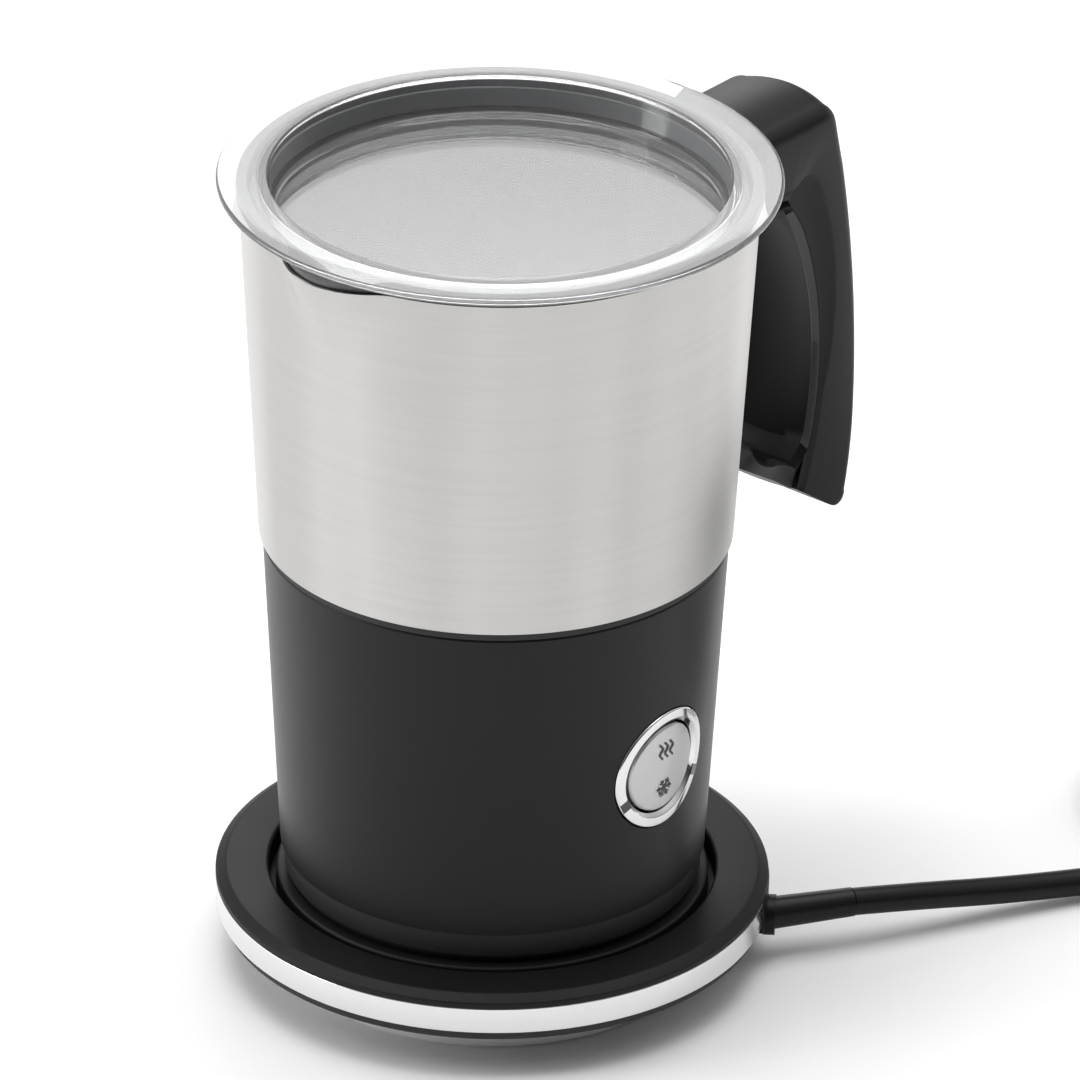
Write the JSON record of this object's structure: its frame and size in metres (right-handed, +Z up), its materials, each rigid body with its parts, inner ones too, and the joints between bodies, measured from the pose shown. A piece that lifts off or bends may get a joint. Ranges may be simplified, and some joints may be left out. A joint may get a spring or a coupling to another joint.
{
  "type": "milk frother",
  "caption": "Electric milk frother: steel jug with handle, spout and clear lid over a black heater housing, lifting off a round power base with a mains lead.",
  "frame": {"origin": "centre of the base's underside, on the surface it stands on", "axes": "+Z up; -Y is the front with the control button; +X carries the handle and -X the spout"},
  "size_m": [0.3038, 0.188, 0.1921],
  "materials": {
    "black_satin": "satin moulded black plastic",
    "black_matte": "fine matte moulded black plastic",
    "grey_foot": "grey non-slip elastomer",
    "chrome": "polished",
    "steel": "brushed round the jug",
    "coated_pot": "dark grey non-stick coating",
    "aluminium": "cast",
    "brass": "plain",
    "clear_lid": "clear slightly smoky plastic",
    "silicone": "translucent grey silicone",
    "button_silver": "satin silver",
    "lens": "dark smoked window",
    "lead_black": "soft black PVC",
    "plated": "nickel plated",
    "board": "solder mask",
    "component": "moulded",
    "white_plastic": "natural nylon",
    "magnet": "plated magnet",
    "zinc": "zinc plated",
    "whisk_steel": "bright stainless wire"
  },
  "bodies": {
    "base": {"base_foot_ring": "grey_foot", "base_bottom_cover": "black_matte", "base_chrome_band": "chrome", "base_top_cover": "black_matte", "base_screws": "zinc", "base_connector_post": "black_satin", "base_contact_pin": "brass", "base_contact_rings": "brass", "base_leads": "lead_black", "cord_grommet": "lead_black", "cord_tube": "lead_black", "cord_coil": "lead_black", "cord_tail": "lead_black", "cord_tie": "black_matte", "plug_body": "lead_black", "plug_pins": "plated", "plug_earth_clips": "plated"},
    "coupler": {"jug_connector": "black_satin", "jug_contact_rings": "brass"},
    "jug": {"jug_bottom_cover": "black_matte", "jug_screws": "zinc", "lower_housing": "black_satin", "joint_ring": "black_matte", "steel_sleeve": "steel", "inner_pot": "coated_pot", "heater_plate": "aluminium", "heater_element": "aluminium", "thermal_cutout": "component", "temperature_probe": "brass", "motor_deck": "white_plastic", "motor_case": "zinc", "motor_screws": "zinc", "whisk_pin": "whisk_steel", "button_bezel": "chrome", "indicator_lenses": "lens", "indicator_lights": "component", "button_pivot_pin": "zinc", "circuit_board": "board", "tact_switches": "component", "board_components": "component", "handle_shell": "black_satin", "handle_insert": "black_satin", "handle_bracket": "zinc", "handle_screws": "zinc"},
    "rotor": {"motor_shaft": "zinc", "rotor_carrier": "white_plastic", "rotor_magnets": "magnet"},
    "whisk_seat": {"whisk_bush": "white_plastic"},
    "whisk": {"whisk_hub": "black_satin", "whisk_magnets": "magnet", "whisk_frame": "whisk_steel", "whisk_coil": "whisk_steel"},
    "lid": {"lid_disc": "clear_lid", "lid_gasket": "silicone"},
    "button": {"button_cap": "button_silver"}
  },
  "joints": [
    {"name": "jug_lift", "type": "slide", "parent": "base", "child": "coupler", "axis": [0, 0, 1], "range_m": [0, 0.06]},
    {"name": "jug_turn", "type": "hinge", "parent": "coupler", "child": "jug", "pos_m": [0, 0, 0.02], "axis": [0, 0, 1], "continuous": true},
    {"name": "lid_lift", "type": "slide", "parent": "jug", "child": "lid", "axis": [0, 0, 1], "range_m": [0, 0.04]},
    {"name": "motor_spin", "type": "hinge", "parent": "jug", "child": "rotor", "pos_m": [0, 0, 0.09], "axis": [0, 0, 1], "continuous": true},
    {"name": "whisk_lift", "type": "slide", "parent": "jug", "child": "whisk_seat", "axis": [0, 0, 1], "range_m": [0, 0.04]},
    {"name": "whisk_spin", "type": "hinge", "parent": "whisk_seat", "child": "whisk", "pos_m": [0, 0, 0.1], "axis": [0, 0, 1], "continuous": true},
    {"name": "button_rock", "type": "hinge", "parent": "jug", "child": "button", "pos_m": [0, -0.0446, 0.0624], "axis": [1, 0, 0], "range_deg": [-3, 3], "stiffness_Nm_per_rad": 0.4}
  ],
  "couplings": [
    {"joint": "whisk_spin", "follows": "motor_spin", "ratio": 1}
  ]
}
